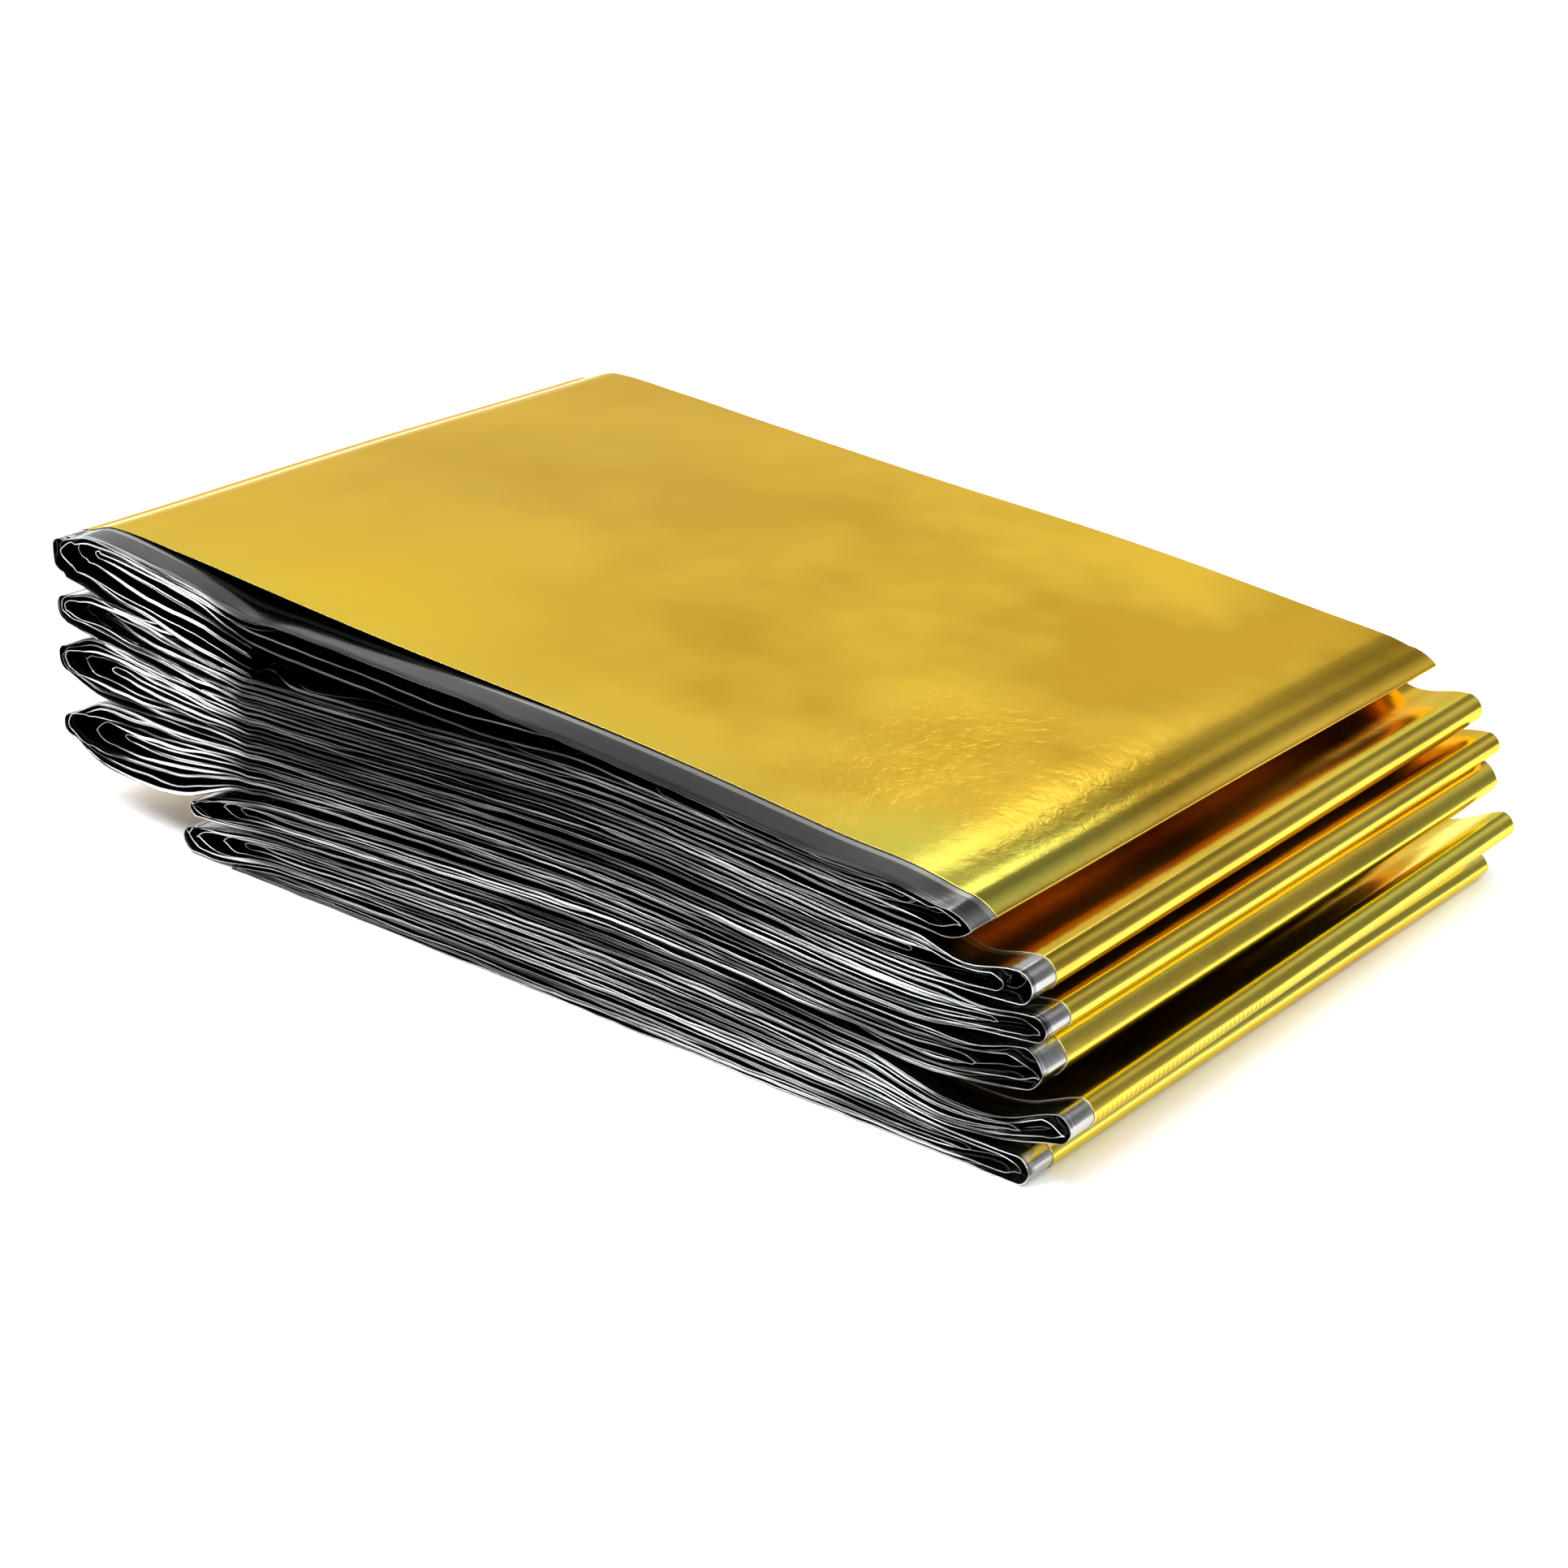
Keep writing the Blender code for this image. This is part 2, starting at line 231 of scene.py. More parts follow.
def fold_frame(name, share):
    """Where a fold's tip and start lie at this share of the way across, and its outer faces."""
    near, far, top, bottom, reach = FOLDS[name][2:]
    tip = near + (far - near) * share
    start = tip + reach if name.startswith("left") else tip - reach
    return tip, start, top, bottom


def layer_rows(layer, share):
    """(x, upper face, lower face) along the layer, from left to right."""
    places, heights = LAYERS[layer]
    rows = [(x, *faces) for x, faces in zip(places, heights)]
    for fold, row in FOLDS.items():
        if layer in row[:2]:
            _, start, top, bottom = fold_frame(fold, share)
            middle = (top + bottom) / 2
            upper = row[0] == layer
            faces = (top, middle + INNER_GAP / 2) if upper else (middle - INNER_GAP / 2, bottom)
            rows.append((start, *faces))
    if layer in FREE_ENDS:
        rows.append(FREE_ENDS[layer])
    return sorted(rows)


def leaf_way(leaf, share):
    """The leaf's way through the packet at this share of the way across.

    Each step is (x, z, how far it is from the nearest fold, layer, room between two leaves,
    how many leaves lie outside it in that fold).
    """
    steps = []
    part = leaf / (LEAVES - 1)  # 0 on face a, the upper one of layer 1, and 1 on face b
    for number, layer in enumerate(ORDER):
        rightward = number % 2 == 1
        xs, tops, bottoms = zip(*layer_rows(layer, share))
        depth = part if rightward else 1 - part
        ends = {}
        for fold, row in FOLDS.items():
            if layer in row[:2]:
                side = fold.split("_")[0]
                outer_a = fold == "left_1" or side == "right"
                inward = leaf if outer_a else LEAVES - 1 - leaf
                vary = 1.0 + RETREAT_VARY * sin(2.2 * share + 1.7 * leaf)
                ends[side] = (fold, inward, NOSES[fold][3][inward] * vary)
        low = xs[0] + (ends["left"][2] if "left" in ends else 0.0)
        high = xs[-1] - (ends["right"][2] if "right" in ends else 0.0)
        places = LAYERS[layer][0]
        count = SPARE_STEPS + round((places[-1] - places[0]) / STEP)
        run = []
        for i in range(count + 1):
            x = low + (high - low) * i / count
            near_fold, inside = min(
                (x - low, ends["left"][1]) if "left" in ends else (NO_FOLD, 0),
                (high - x, ends["right"][1]) if "right" in ends else (NO_FOLD, 0),
            )
            top, bottom = curve(xs, tops, x), curve(xs, bottoms, x)
            skin = min(SKIN, (top - bottom) / 4)
            room = (top - bottom - 2 * skin) / (LEAVES - 1)
            shift = 0.0
            if 0 < leaf < LEAVES - 1:
                for size, seed_step, long in PLY_WAVES:
                    shift += size * room * wobble(leaf + seed_step * number, x, long)
            crease = 0.0
            if layer in CREASED:
                crease = exp(-(((x - CREASE_X) / CREASE_HALF) ** 2)) * CREASE_DEEP
            z = top - skin - (top - bottom - 2 * skin) * depth + shift - crease
            if layer == "layer_1":
                rise = SHOULDER_RISE * (1 - SHOULDER_FADE * share)
                z += rise * exp(-(((x - SHOULDER_X) / SHOULDER_HALF) ** 2))
            elif 0 < leaf < LEAVES - 1:
                crumpled = window(x, LOOPS_END, LOOPS_X, 6.0)
                z += CRUMPLE * crumpled * wobble(leaf + 7 * number, x, CRUMPLE_LONG)
            squeeze = 0.0
            if "right" in ends and ends["right"][0] in DIPS:
                dip, held, half = DIPS[ends["right"][0]]
                middle = fold_frame(ends["right"][0], share)[1] - half
                if abs(x - middle) < half:
                    squeeze = dip * cos(pi * (x - middle) / (2 * half)) ** 2
                z -= (z - held) * squeeze
            run.append((x, z, near_fold, layer, room * (1 - squeeze), inside))
        if not rightward:
            run.reverse()
        if number:
            fold, inward, _ = ends["left" if BAND[number - 1].startswith("left") else "right"]
            tip, start = fold_frame(fold, share)[:2]
            x0, z0 = steps[-1][:2]
            x1, z1 = run[0][:2]
            pointed, inner_pointed, inner_reach, _ = NOSES[fold]
            reach = abs(tip - start) - SKIN
            if inward:
                pointed = inner_pointed
                uneven = 1 + NOSE_VARY * wobble(leaf + 9 * number, share, 2.0)
                reach = inner_reach * abs(z1 - z0) * uneven + NOSE_LEAST
                reach = min(reach, abs(tip - x0) - SKIN - NOSE_NEST * inward)
            side = 1 if fold.startswith("right") else -1
            for k in range(1, NOSE_STEPS):
                angle = pi * k / NOSE_STEPS
                bow = abs(cos(angle)) ** pointed
                blend = (1 - bow) / 2 if angle < pi / 2 else (1 + bow) / 2
                loose = NOSE_LOOSE * sin(angle) * wobble(leaf + 17 * number, k + 9 * share, 3.0)
                blend += loose if inward else 0.0
                x = x0 + (x1 - x0) * blend + side * reach * sin(angle)
                steps.append((x, z0 + (z1 - z0) * blend, 0.0, fold, NOSE_ROOM, inward))
        steps.extend(run)
    return steps


def settle(x, y, z):
    """A table point's place in the object, with the packet's slow rise and fall."""
    wave = SWELL * sin(2 * pi * x / SWELL_LONG) * sin(2 * pi * y / SWELL_WIDE + 0.7)
    height = max(z * (1 - FAR_DROP * y / WIDTH + wave), 0.02)
    return Vector(((x - CENTRE_X) * MM, (y - WIDTH / 2) * MM, height * MM))


def film_strip(name, way_near, way_far, section, start=0.0):
    """A closed strip of film along the way.

    section(i, s) gives its closed outline at step i, s millimetres along the way: each point
    is (y, how far it stands off the way, place round the outline, paint of the face after it).
    """
    count = len(way_near)
    lengths = [start]
    for a, b in zip(way_near, way_near[1:]):
        lengths.append(lengths[-1] + hypot(b[0] - a[0], b[1] - a[1]))
    outline = [section(i, lengths[i]) for i in range(count)]
    around = len(outline[0])
    mesh = bmesh.new()
    bmesh.ops.create_grid(mesh, x_segments=count - 1, y_segments=around, size=0.5)
    layer = mesh.loops.layers.uv.new("film")
    index = {}
    for vert in mesh.verts:
        index[vert] = (round((vert.co.x + 0.5) * (count - 1)), round((vert.co.y + 0.5) * around))
    for vert, (i, j) in index.items():
        y, out = outline[i][j % around][:2]
        share = y / WIDTH
        here = [way_near[i][k] + (way_far[i][k] - way_near[i][k]) * share for k in (0, 1)]
        before, after = way_near[max(i - 1, 0)], way_near[min(i + 1, count - 1)]
        along = (after[0] - before[0], after[1] - before[1])
        size = hypot(*along)
        normal = (-along[1] / size, along[0] / size)
        vert.co = settle(here[0] + normal[0] * out, y, here[1] + normal[1] * out)
    for face in mesh.faces:
        for loop in face.loops:
            i, j = index[loop.vert]
            loop[layer].uv = (lengths[i] * MM, (outline[i][j % around][2] + (j == around)) * MM)
        first = min(index[loop.vert][1] for loop in face.loops)
        face.material_index = outline[0][first][3]
        face.smooth = True
    bmesh.ops.remove_doubles(mesh, verts=mesh.verts, dist=2e-7)
    bmesh.ops.recalc_face_normals(mesh, faces=mesh.faces)
    data = bpy.data.meshes.new(name)
    mesh.to_mesh(data)
    mesh.free()
    obj = bpy.data.objects.new(name, data)
    bpy.context.scene.collection.objects.link(obj)
    return obj, (lengths[-1] - start) * MM


BEAD = (-90, -60, -30, 0, 30, 60, 90)  # angles of the points round the folded near edge
FAR_BEAD = (-90, -30, 30, 90)
INSIDE = [
    # place across the leaf, paint of the face after it
    (0.4, BARE_PAINT),
    (1.5, BARE_PAINT),
    (2.6, BARE_PAINT),
    (MARGIN - EDGE_WASH, WASH_PAINT),
    (MARGIN, BARE_PAINT),
    (7.0, BARE_PAINT),
    (11.0, BARE_PAINT),
    (17.0, BARE_PAINT),
    (30.0, GOLD_PAINT),
    (58.0, GOLD_PAINT),
    (75.0, GOLD_PAINT),
    (84.5, GOLD_PAINT),
]


def near_edge(leaf, step, s):
    """How far back the leaf's near edge lies."""
    edge = EDGE_BACK + sum(size * wobble(leaf + seed, s, long) for size, seed, long in EDGE_WAVES)
    for layer, number, low, high, back in SETBACKS:
        if layer == step[3] and number == leaf:
            edge += back * window(step[0], low, high, SETBACK_SOFT)
    if step[5]:
        tuck = TUCK_LEFT if step[0] < CENTRE_X else TUCK_RIGHT
        near_fold = exp(-((step[2] / TUCK_LONG) ** 2))
        edge += tuck * sin(2.7 * leaf + 1.9 * step[5]) ** 2 * near_fold
    return max(edge, 0.02)


def corner_setback(step):
    """How far the far edge is drawn in at the rounded corner over the upper left fold."""
    if step[3] not in ("layer_1", "flap", "left_1"):
        return 0.0
    inside = min(max(CORNER - (step[0] - FOLDS["left_1"][3]), 0.0), CORNER)
    return CORNER - sqrt(CORNER**2 - inside**2)


def top_drop(step, y):
    """How far the top layer's film hangs under its gold ply at this place across."""
    if step[3] != "layer_1":
        return 0.0
    x = min(max(step[0], TOP_X[0]), TOP_X[-1])
    hang, stand = curve(TOP_X, HANG, x), curve(TOP_X, STAND, x)
    inward = 1 - window(y, STAND_Y, 2 * WIDTH, STAND_LONG)
    return hang * exp(-((y / HANG_LONG) ** 2)) + stand * inward


def sag(leaf, step, y):
    """How far the leaf hangs loose at this place across."""
    total = 0.0
    for layer, number, low, high, depth in SAGS:
        if layer == step[3] and number == leaf:
            total += depth * window(step[0], low, high, SAG_SOFT) * exp(-((y / SAG_LONG) ** 2))
    return total if step[3] in ORDER[1::2] else -total


def bead_radius(leaf, step, s):
    """Half the thickness of the leaf's folded edge: some are plump and some are pressed flat."""
    layer = step[3]
    number = ORDER.index(layer) if layer in ORDER else 0
    plump = PLUMP + PLUMP_EACH * sin(2.4 * leaf + 4.1 * number)
    plump += PLUMP_ALONG * wobble(leaf + 3, s, PLUMP_LONG)
    packed = 1 - exp(-step[2] / BEAD_PACKED)
    more = min(max(0.4 * step[4] * plump - BEAD_LEAST, 0.0), BEAD_MOST)
    return BEAD_LEAST + packed * more


def leaf_section(leaf, way, ends):
    """The outline of a doubled leaf: its folded near edge, its two films and its far edge."""

    def section(i, s):
        step = way[i]
        thick = 0.0 if i in ends else bead_radius(leaf, step, s)
        near = near_edge(leaf, step, s)
        far_edge = WIDTH - FAR_BACK - FAR_VARY * wobble(leaf + 60, s, FAR_LONG)
        far_edge -= corner_setback(step)
        rise = LIFT * wobble(leaf + 80, s, LIFT_LONG)
        points = []
        for angle in BEAD:
            a = radians(angle)
            points.append((near + thick * (1 - cos(a)), rise + thick * sin(a), BARE_PAINT))
        inside = []
        for number, (y, paint) in enumerate(INSIDE):
            fade = exp(-(y - EDGE_BACK) / EDGE_FADE)
            place = min(max(y, near + thick + 0.1 + 0.15 * number), far_edge - 1.0)
            inside.append((place, rise * fade, fade, paint))
        for y, lift, fade, paint in inside:
            points.append((y, lift + thick * (0.5 + 0.5 * fade), paint))
        for angle in reversed(FAR_BEAD):
            a = radians(angle)
            points.append((far_edge - thick * (1 - cos(a)), 0.5 * thick * sin(a), GOLD_PAINT))
        back = inside[::-1]
        for number, (y, lift, fade, _) in enumerate(back):
            paint = back[min(number + 1, len(back) - 1)][3]
            points.append((y, lift - thick * (0.5 + 0.5 * fade), paint))
        around, last = 0.0, points[0]
        found = []
        for y, out, paint in points:
            around += hypot(y - last[0], out - last[1])
            last = (y, out)
            found.append((y, out - top_drop(step, y) - sag(leaf, step, y), around, paint))
        return found

    return section


ACROSS = [4.9 + 3.6 * k for k in range(22)]  # places across a gold ply
COVER_THICK = 0.03  # half its thickness
COVER_BACK = 22.0  # how much further the inner one stands back under the top layer
MARGIN_VARY, MARGIN_LONG = 0.2, 25.0  # how unevenly the lacquer ends at the margin


def cover_section(leaf, way, ends):
    """A single gold ply on the band's outer face, from the margin to the far edge."""
    side = -1 if leaf else 1

    def section(i, s):
        step = way[i]
        thick = 0.0 if i in ends else COVER_THICK
        start = MARGIN + MARGIN_VARY * wobble(5, s, MARGIN_LONG)
        if leaf:
            start += MARGIN
            if step[3] in ("layer_1", "layer_2"):
                start += COVER_BACK * window(step[0], -112.0, -2.0, 6.0)
        body = max(bead_radius(leaf, step, s), 0.05)
        far_edge = WIDTH - 0.2 - corner_setback(step)
        rows = [start, start + 0.08, *(max(y, start + 0.2) for y in ACROSS)]
        rows = [min(y, far_edge - 0.2) for y in rows] + [far_edge - 0.1, far_edge]
        points = []
        for sign, order in ((1, rows), (-1, rows[::-1])):
            for y in order:
                rest = body * (0.5 + 0.5 * exp(-y / EDGE_FADE)) + COVER_THICK + 0.02
                paint = GOLD_PAINT if sign == side else BARE_PAINT
                place = y if sign > 0 else 2 * WIDTH - y
                points.append((y, side * rest + thick * sign, place, paint))
        return points

    return section


# ---- materials, with lengths and places in metres


def linear(hex_colour):
    """An sRGB hex colour as linear values."""
    channels = [int(hex_colour[k : k + 2], 16) / 255 for k in (1, 3, 5)]
    return tuple(c / 12.92 if c <= 0.04045 else ((c + 0.055) / 1.055) ** 2.4 for c in channels)


def add(tree, kind, settings=None, values=None, links=None):
    """Adds a node, with its settings, its sockets' values and what is linked into them."""
    node = tree.nodes.new(kind)
    for key, value in (settings or {}).items():
        setattr(node, key, value)
    for key, value in (values or {}).items():
        node.inputs[key].default_value = value
    for key, source in (links or {}).items():
        tree.links.new(source, node.inputs[key])
    return node


def new_material(name):
    """A material, with its node tree and its one shader."""
    material = bpy.data.materials.new(name)
    material.use_nodes = True
    tree = material.node_tree
    return material, tree, tree.nodes["Principled BSDF"]


def set_stops(ramp, stops):
    """Gives a colour ramp its stops, each a place along it and a linear colour."""
    found = ramp.color_ramp.elements
    found[0].position, found[1].position = stops[0][0], stops[-1][0]
    for position, _ in stops[1:-1]:
        found.new(position)
    for element, (_, colour) in zip(found, stops):
        element.color = (*colour, 1)


# a Map Range node's sockets, in the order of the numbers in the tables of shares
SPAN = ("From Min", "From Max", "To Min", "To Max")


def bare_film():
    """Vacuum-metallised polyester with no lacquer: a smoky grey mirror.

    Along its folded edges it is crumpled into fine lengthwise streaks, light and dark; painted
    shade dims them toward the upper left and painted light brightens them toward the right, and
    in the left loops they are painted as bright highlights. Its flat faces are a plain grey,
    painted lighter toward the right.
    """
    material, tree, shader = new_material("bare_metallised_film")
    shader.inputs["Metallic"].default_value = 1.0
    place = add(tree, "ShaderNodeTexCoord")
    across = add(tree, "ShaderNodeSeparateXYZ", links={"Vector": place.outputs["UV"]})
    spot = add(tree, "ShaderNodeSeparateXYZ", links={"Vector": place.outputs["Object"]})
    grain = {}
    for name, source, lengths, values in (
        # the coordinates it follows, and its grain's length along each of them
        ("broad", "UV", (0.045, 0.0007, 1.0), {"Detail": 2.0, "Roughness": 0.55}),
        ("streaks", "UV", (0.012, 0.0003, 1.0), {"Detail": 2.0, "Roughness": 0.55}),
        ("grouped", "Object", (0.035, 0.2, 0.0013), {"Detail": 1.0}),
    ):
        stretch = add(
            tree,
            "ShaderNodeMapping",
            values={"Scale": tuple(1 / length for length in lengths)},
            links={"Vector": place.outputs[source]},
        )
        texture = add(
            tree,
            "ShaderNodeTexNoise",
            values={"Scale": 1.0, **values},
            links={"Vector": stretch.outputs["Vector"]},
        )
        grain[name] = texture.outputs["Fac"]
    both = add(
        tree,
        "ShaderNodeMix",
        values={"Factor": 0.45},
        links={"A": grain["broad"], "B": grain["streaks"]},
    )
    tone = add(tree, "ShaderNodeValToRGB", links={"Fac": both.outputs["Result"]})
    set_stops(tone, ((0.38, linear("#353B39")), (0.62, linear("#C8CBC9"))))
    # painted highlights: near-white streaks for the crumpled left loops
    painted_glint_streaks = add(tree, "ShaderNodeValToRGB", links={"Fac": both.outputs["Result"]})
    set_stops(painted_glint_streaks, ((0.44, linear("#202224")), (0.56, linear("#F4F6F8"))))
    up_and_left = add(
        tree,
        "ShaderNodeMath",
        {"operation": "MULTIPLY_ADD"},
        values={1: -0.12},
        links={0: spot.outputs["X"], 2: spot.outputs["Z"]},
    )
    ragged = add(
        tree,
        "ShaderNodeMath",
        {"operation": "MULTIPLY_ADD"},
        values={1: 0.02},
        links={0: grain["broad"], 2: spot.outputs["X"]},
    )
    share = {}
    for name, source, *span in (
        # what it follows, the two ends of its span there, and its share at each
        ("at_edge", across.outputs["Y"], 0.0006, 0.0012, 1.0, 0.0),
        ("level", grain["grouped"], 0.38, 0.62, 0.28, 1.5),
        # painted shade: the streaks grow darker up high and toward the left
        ("upper", up_and_left.outputs["Value"], 0.0120, 0.0225, 0.66, 0.18),
        # painted light: the streaks grow brighter toward the right
        ("painted_light_right", spot.outputs["X"], -0.010, 0.050, 1.0, 1.8),
        # painted highlights: where the left loops take the near-white streaks
        ("painted_glints_in_loops", ragged.outputs["Value"], -0.0297, -0.0345, 0.0, 1.0),
        # painted light: the plain grey of the flat faces grows lighter toward the right
        ("painted_light_flat_right", spot.outputs["X"], 0.056, 0.064, 0.14, 0.5),
        ("sheen", grain["streaks"], 0.3, 0.7, 0.10, 0.22),
    ):
        limits = dict(zip(SPAN, span))
        reach = add(tree, "ShaderNodeMapRange", values=limits, links={"Value": source})
        share[name] = reach.outputs["Result"]
    # painted shade and light: the streaks' random level, times the darkening and brightening above
    shade = share["level"]
    for name in ("upper", "painted_light_right"):
        links = {0: shade, 1: share[name]}
        product = add(tree, "ShaderNodeMath", {"operation": "MULTIPLY"}, links=links)
        shade = product.outputs["Value"]
    shaded = add(
        tree,
        "ShaderNodeMix",
        {"data_type": "RGBA", "blend_type": "MULTIPLY"},
        values={"Factor": 1.0},
        links={"A": tone.outputs["Color"], "B": shade},
    )
    # mixes the painted highlight streaks in over the left loops
    crumpled = add(
        tree,
        "ShaderNodeMix",
        {"data_type": "RGBA"},
        links={
            "Factor": share["painted_glints_in_loops"],
            "A": shaded.outputs["Result"],
            "B": painted_glint_streaks.outputs["Color"],
        },
    )
    # the flat faces get the plain grey with its painted light, the folded edges the streaks
    smooth = add(
        tree,
        "ShaderNodeMix",
        {"data_type": "RGBA"},
        links={
            "Factor": share["at_edge"],
            "A": share["painted_light_flat_right"],
            "B": crumpled.outputs["Result"],
        },
    )
    bump = add(
        tree,
        "ShaderNodeBump",
        values={"Strength": 0.3, "Distance": 0.00003},
        links={"Height": grain["broad"]},
    )
    tree.links.new(smooth.outputs["Result"], shader.inputs["Base Color"])
    tree.links.new(share["sheen"], shader.inputs["Roughness"])
    tree.links.new(bump.outputs["Normal"], shader.inputs["Normal"])
    return material


def thin_lacquer():
    """The washed-out edge of the lacquer: a paler line of film between the margin and the gold."""
    material, tree, shader = new_material("thin_edge_of_lacquer")
    shader.inputs["Base Color"].default_value = (*linear("#B9B8AE"), 1)
    shader.inputs["Metallic"].default_value = 1.0
    shader.inputs["Roughness"].default_value = 0.22
    return material


def gold_film():
    """Gold lacquer over metallised polyester: a warm mirror with soft clouds and fine crinkles.

    It is yellower along its front edge and on the folds. A painted highlight makes it palest at
    the front right corner and along the shoulder before the top's fold, beside a patch that
    handling has crinkled, and painted light brightens it at the left front. The lowest open fold
    has fine ribs at its foot, drawn only as dark lines of painted shade.
    """
    material, tree, shader = new_material("gold_lacquered_film")
    shader.inputs["Metallic"].default_value = 1.0
    shader.inputs["Specular Tint"].default_value = (*linear("#FFEFB6"), 1)
    place = add(tree, "ShaderNodeTexCoord")
    spot = add(tree, "ShaderNodeSeparateXYZ", links={"Vector": place.outputs["Object"]})
    clouds = add(
        tree,
        "ShaderNodeTexNoise",
        values={"Scale": 1 / 0.030, "Detail": 3.0, "Roughness": 0.55},
        links={"Vector": place.outputs["Object"]},
    )
    crinkles = add(
        tree,
        "ShaderNodeTexNoise",
        values={"Scale": 1 / 0.0016, "Detail": 3.0, "Roughness": 0.6, "Distortion": 0.6},
        links={"Vector": place.outputs["Object"]},
    )
    ribs = add(
        tree,
        "ShaderNodeTexWave",
        {"bands_direction": "Y"},
        values={"Scale": RIB_SCALE, "Distortion": 0.0},
        links={"Vector": place.outputs["Object"]},
    )
    grain = {}
    for name, lengths, turn, values in (
        # the grain's length along each axis, and its turn round the vertical
        ("each_fold", (0.02, 0.11, 0.006), 0.0, {"Detail": 2.0}),
        ("creases", (0.045, 0.008, 0.045), 0.3, {"Detail": 3.0, "Roughness": 0.6}),
    ):
        stretch = add(
            tree,
            "ShaderNodeMapping",
            values={
                "Scale": tuple(1 / length for length in lengths),
                "Rotation": (0.0, 0.0, turn),
            },
            links={"Vector": place.outputs["Object"]},
        )
        texture = add(
            tree,
            "ShaderNodeTexNoise",
            values={"Scale": 1.0, **values},
            links={"Vector": stretch.outputs["Vector"]},
        )
        grain[name] = texture.outputs["Fac"]
    away = {}
    for name, point in (
        ("corner", (0.050, -0.041, 0.027)),
        ("left_front", (-0.030, -0.042, 0.033)),
        ("patch", (0.038, -0.016, 0.028)),
    ):
        distance = add(
            tree,
            "ShaderNodeVectorMath",
            {"operation": "DISTANCE"},
            values={1: point},
            links={0: place.outputs["Object"]},
        )
        away[name] = distance.outputs["Value"]
    share = {}
    for name, source, *span in (
        # what it follows, the two ends of its span there, and its share at each
        # painted highlight: pale yellow round the front right corner
        ("painted_highlight_corner", away["corner"], 0.004, 0.016, 1.0, 0.0),
        ("shoulder", spot.outputs["X"], 0.0505, 0.0545, 0.0, 1.0),
        ("front_half", spot.outputs["Y"], -0.008, -0.028, 0.0, 1.0),
        ("on_top", spot.outputs["Z"], 0.0240, 0.0252, 0.0, 1.0),
        ("at_front", spot.outputs["Y"], -0.034, -0.041, 0.0, 0.4),
        ("on_folds", spot.outputs["X"], 0.058, 0.063, 0.0, 1.0),
        ("varied", grain["each_fold"], 0.4, 0.6, 0.0, 0.8),
        # painted light: a brighter patch at the left front of the top
        ("pale", away["left_front"], 0.010, 0.045, 1.0, 0.0),
        ("at_left", spot.outputs["X"], 0.010, -0.045, 0.0, 0.6),
        ("sheen", clouds.outputs["Fac"], 0.3, 0.7, 0.12, 0.20),
        ("patch", away["patch"], 0.010, 0.028, 0.42, 0.06),
        ("far_right", spot.outputs["X"], 0.0665, 0.068, 0.0, 1.0),
        ("low_down", spot.outputs["Z"], 0.0079, 0.0071, 0.0, 1.0),
        ("toward_front", spot.outputs["Y"], -0.004, -0.010, 0.0, 1.0),
        ("between_ribs", ribs.outputs["Fac"], 0.3, 0.7, 0.0, 0.7),
    ):
        limits = dict(zip(SPAN, span))
        reach = add(tree, "ShaderNodeMapRange", values=limits, links={"Value": source})
        share[name] = reach.outputs["Result"]
    for name, operation, first, second in (
        # painted highlight along the shoulder's front half, then at the corner, on the top only
        ("painted_highlight_shoulder", "MULTIPLY", "shoulder", "front_half"),
        ("painted_highlight_corner", "MAXIMUM", "painted_highlight_corner", "painted_highlight_shoulder"),
        ("painted_highlight_on_top", "MULTIPLY", "painted_highlight_corner", "on_top"),
        ("at_folds", "MULTIPLY", "on_folds", "varied"),
        ("yellow_and_painted_highlight", "MAXIMUM", "at_folds", "at_front"),
        ("yellow_and_painted_highlight", "MAXIMUM", "yellow_and_painted_highlight", "painted_highlight_on_top"),
        ("ribbed", "MULTIPLY", "far_right", "low_down"),
        ("ribbed", "MULTIPLY", "ribbed", "toward_front"),
        # painted shade: dark lines between the ribs
        ("painted_rib_shade", "MULTIPLY", "ribbed", "between_ribs"),
    ):
        links = {0: share[first], 1: share[second]}
        joined = add(tree, "ShaderNodeMath", {"operation": operation}, links=links)
        share[name] = joined.outputs["Value"]
    tone = add(tree, "ShaderNodeValToRGB", links={"Fac": clouds.outputs["Fac"]})
    set_stops(tone, ((0.38, linear("#D9AE40")), (0.62, linear("#F7CE50"))))
    hue = tone.outputs["Color"]
    for name, colour in (
        ("at_left", "#E4BC62"),
        # painted light: brighter gold at the left front
        ("pale", "#FBD24E"),
        # a yellower hue on the folds and front edge, and a painted highlight at corner and
        # shoulder
        ("yellow_and_painted_highlight", "#E2DA62"),
        # painted shade between the ribs
        ("painted_rib_shade", "#6E4C12"),
    ):
        tint = add(
            tree,
            "ShaderNodeMix",
            {"data_type": "RGBA"},
            values={"B": (*linear(colour), 1)},
            links={"Factor": share[name], "A": hue},
        )
        hue = tint.outputs["Result"]
    long_creases = add(
        tree,
        "ShaderNodeBump",
        values={"Strength": 0.3, "Distance": 0.0002},
        links={"Height": grain["creases"]},
    )
    soft = add(
        tree,
        "ShaderNodeBump",
        values={"Strength": 0.35, "Distance": 0.0006},
        links={"Height": clouds.outputs["Fac"], "Normal": long_creases.outputs["Normal"]},
    )
    fine = add(
        tree,
        "ShaderNodeBump",
        values={"Distance": 0.00012},
        links={
            "Strength": share["patch"],
            "Height": crinkles.outputs["Fac"],
            "Normal": soft.outputs["Normal"],
        },
    )
    uneven = add(
        tree,
        "ShaderNodeBump",
        values={"Distance": 0.0005},
        links={
            "Strength": share["on_folds"],
            "Height": grain["each_fold"],
            "Normal": fine.outputs["Normal"],
        },
    )
    tree.links.new(hue, shader.inputs["Base Color"])
    tree.links.new(share["sheen"], shader.inputs["Roughness"])
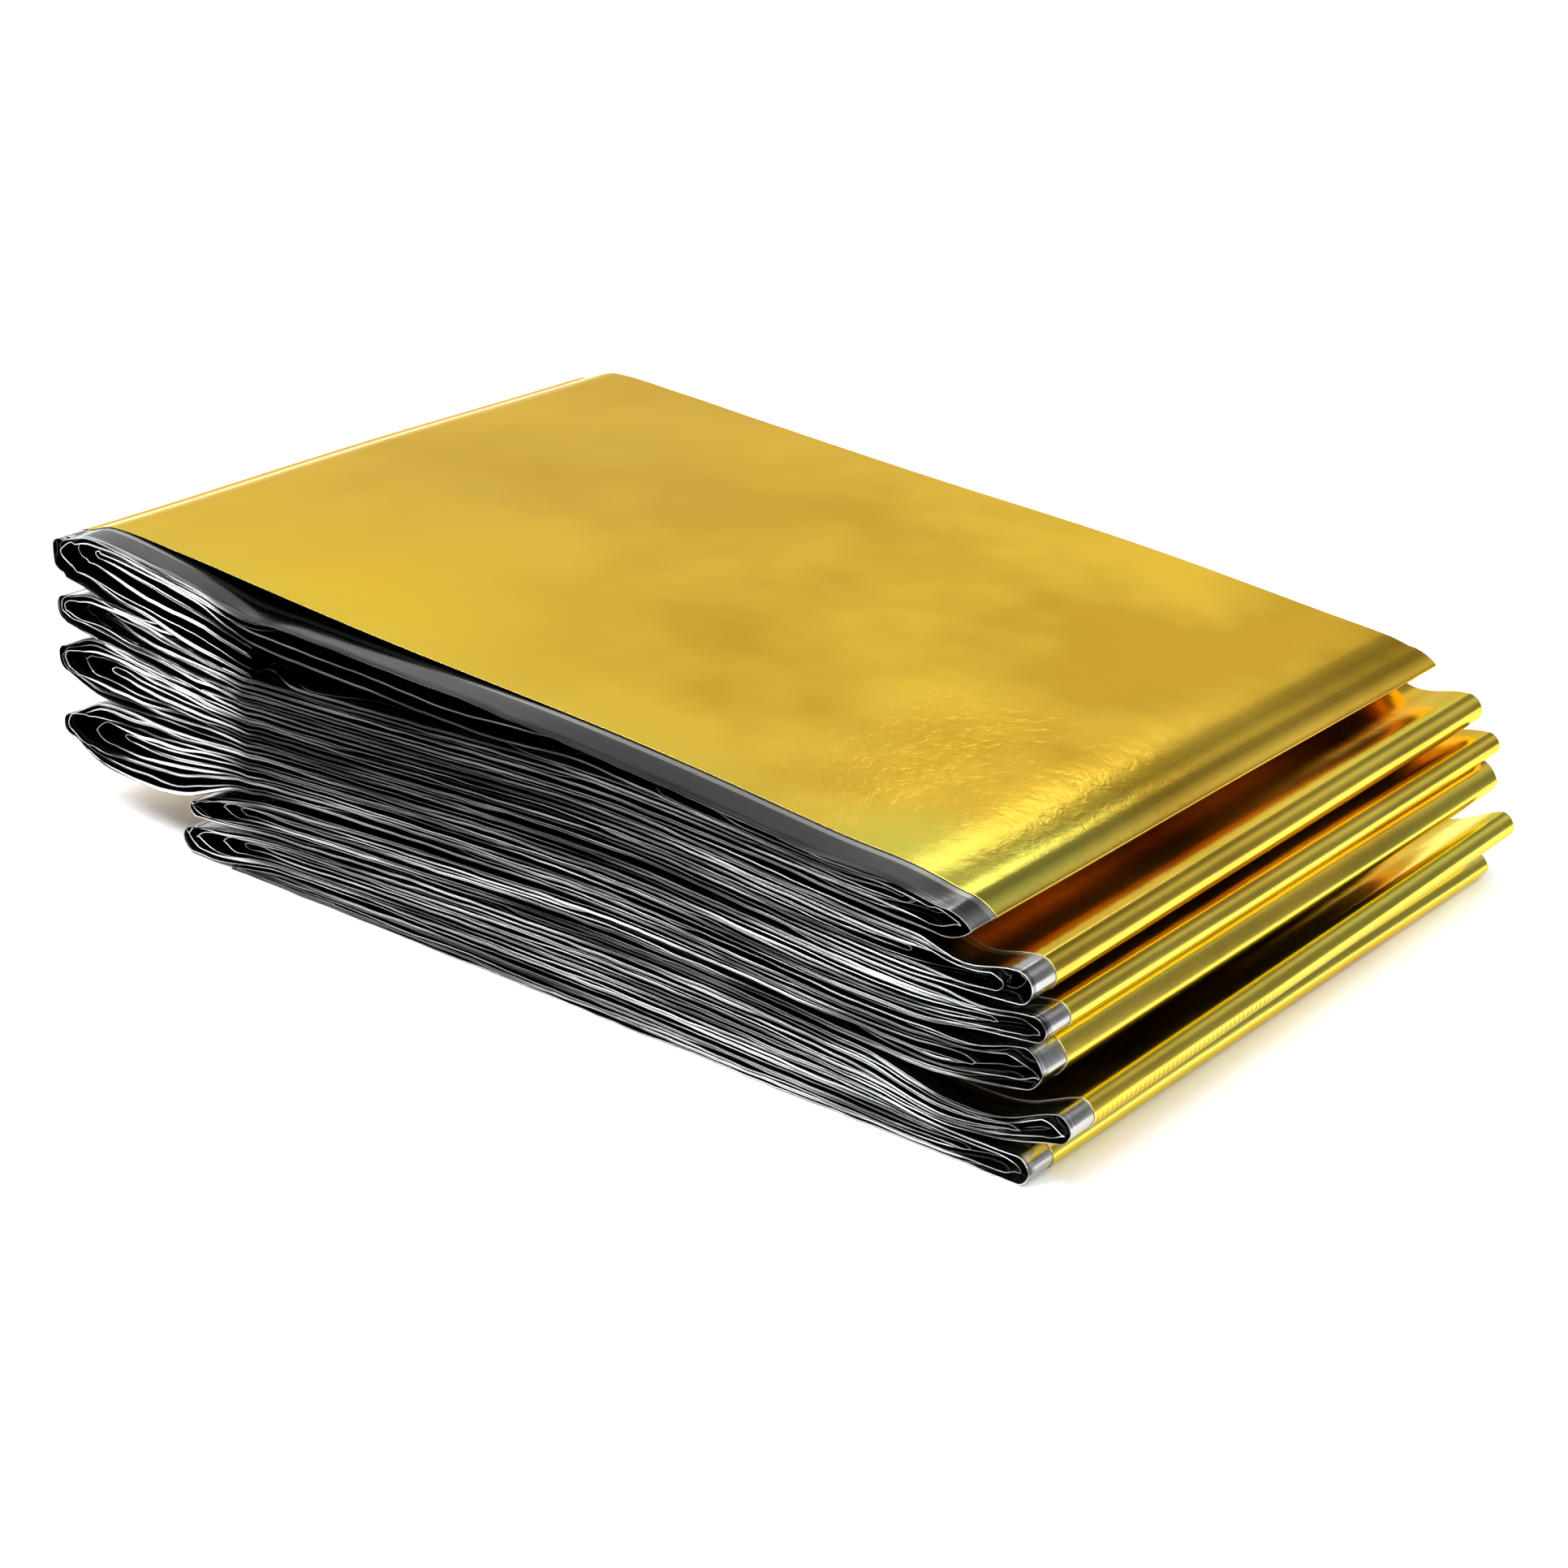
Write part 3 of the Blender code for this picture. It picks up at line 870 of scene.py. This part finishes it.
    tree.links.new(uneven.outputs["Normal"], shader.inputs["Normal"])
    return material


BARE = bare_film()
WASH = thin_lacquer()
GOLD = gold_film()

# ---- the film


def dress(obj, length):
    """Gives a strip its materials and hangs it on the root body; its length is not used."""
    for material in (BARE, WASH, GOLD):
        obj.data.materials.append(material)
    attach(obj, "root")
    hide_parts("foil_blanket")


def build_film():
    """The doubled leaves, and the gold plies on the outermost and the innermost of them."""
    for leaf in range(LEAVES):
        near, far = (leaf_way(leaf, share) for share in (0.0, 1.0))
        ends, start = (0, len(near) - 1), LEAF_START * leaf
        section = leaf_section(leaf, near, ends)
        obj, length = film_strip(f"film_leaf_{leaf + 1}", near, far, section, start)
        dress(obj, length)
        if leaf in (0, LEAVES - 1):
            name = "gold_cover_inner" if leaf else "gold_cover_outer"
            obj, length = film_strip(name, near, far, cover_section(leaf, near, ends), start)
            dress(obj, length)


build_film()

# ---- floor and light


def make_floor():
    """Matt white paper, lit until it is as white as the background."""
    mesh = bmesh.new()
    bmesh.ops.create_grid(mesh, x_segments=1, y_segments=1, size=12.0)
    data = bpy.data.meshes.new("floor")
    mesh.to_mesh(data)
    mesh.free()
    floor = bpy.data.objects.new("floor", data)
    bpy.context.scene.collection.objects.link(floor)
    material, tree, shader = new_material("white_paper_floor")
    shader.inputs["Base Color"].default_value = (*linear("#F4F4F4"), 1)
    shader.inputs["Roughness"].default_value = 0.9
    data.materials.append(material)


def softbox(name, direction, distance, size, power):
    """A rectangular light that far off in this direction and turned to the packet."""
    data = bpy.data.lights.new(name, "AREA")
    data.shape = "RECTANGLE"
    data.size, data.size_y = size
    data.energy = power
    light = bpy.data.objects.new(name, data)
    way = Vector(direction).normalized()
    light.location = way * distance
    light.rotation_euler = way.to_track_quat("Z", "Y").to_euler()
    bpy.context.scene.collection.objects.link(light)


HEIGHT_STOPS = (
    # height of the direction, brightness
    (0.0, 0.9),
    (0.1, 0.85),
    (0.2, 0.7),
    (0.34, 0.8),
    (0.42, 0.76),
    (0.53, 0.76),
    (0.64, 0.5),
    (1.0, 0.3),
)
SIDE_STOPS = (
    # the direction's X, from -1 as 0 to 1 as 1, and brightness
    (0.0, 0.4),
    (0.07, 0.4),
    (0.10, 0.88),
    (0.15, 0.88),
    (0.20, 0.84),
    (0.235, 0.82),
    (0.303, 0.92),
    (0.328, 0.42),
    (0.365, 0.3),
    (0.46, 0.3),
    (0.53, 0.56),
    (0.60, 0.8),
    (0.66, 0.64),
    (0.73, 0.26),
    (0.80, 0.26),
    (0.86, 0.75),
)
WORLD_STRENGTH = 1.25


def make_world():
    """A studio seen only in the film: pale low down, with dark and pale panels to the right."""
    world = bpy.data.worlds.new("studio")
    world.use_nodes = True
    tree = world.node_tree
    place = add(tree, "ShaderNodeTexCoord")
    parts = add(tree, "ShaderNodeSeparateXYZ", links={"Vector": place.outputs["Generated"]})
    side = add(
        tree,
        "ShaderNodeMapRange",
        values=dict(zip(SPAN, (-1.0, 1.0, 0.0, 1.0))),
        links={"Value": parts.outputs["X"]},
    )
    ramps = ((parts.outputs["Z"], HEIGHT_STOPS), (side.outputs["Result"], SIDE_STOPS))
    shades = []
    for source, stops in ramps:
        shade = add(tree, "ShaderNodeValToRGB", links={"Fac": source})
        set_stops(shade, [(position, (value, value, value)) for position, value in stops])
        shades.append(shade)
    both = add(
        tree,
        "ShaderNodeMix",
        {"data_type": "RGBA", "blend_type": "MULTIPLY"},
        values={"Factor": 1.0},
        links={"A": shades[0].outputs["Color"], "B": shades[1].outputs["Color"]},
    )
    back = tree.nodes["Background"]
    back.inputs["Strength"].default_value = WORLD_STRENGTH
    tree.links.new(both.outputs["Result"], back.inputs["Color"])
    bpy.context.scene.world = world


make_floor()
softbox("key_softbox", (-0.375, 0.73, 0.57), 1.2, (0.12, 0.05), 0.055)
softbox("overhead_softbox", (0.4, -0.3, 1.3), 3.0, (2.5, 2.5), 95.0)
softbox("right_softbox", (0.9, -0.2, 0.7), 1.5, (0.9, 0.9), 7.0)
softbox("left_softbox", (-1.0, -0.2, 0.5), 1.5, (0.9, 0.9), 5.0)
softbox("side_softbox", (-0.57, -0.40, 0.72), 1.2, (0.24, 0.42), 3.2)
softbox("front_softbox", (-0.25, -0.49, 0.815), 1.2, (0.36, 0.36), 8.0)
make_world()
bpy.context.scene.view_settings.view_transform = "Standard"
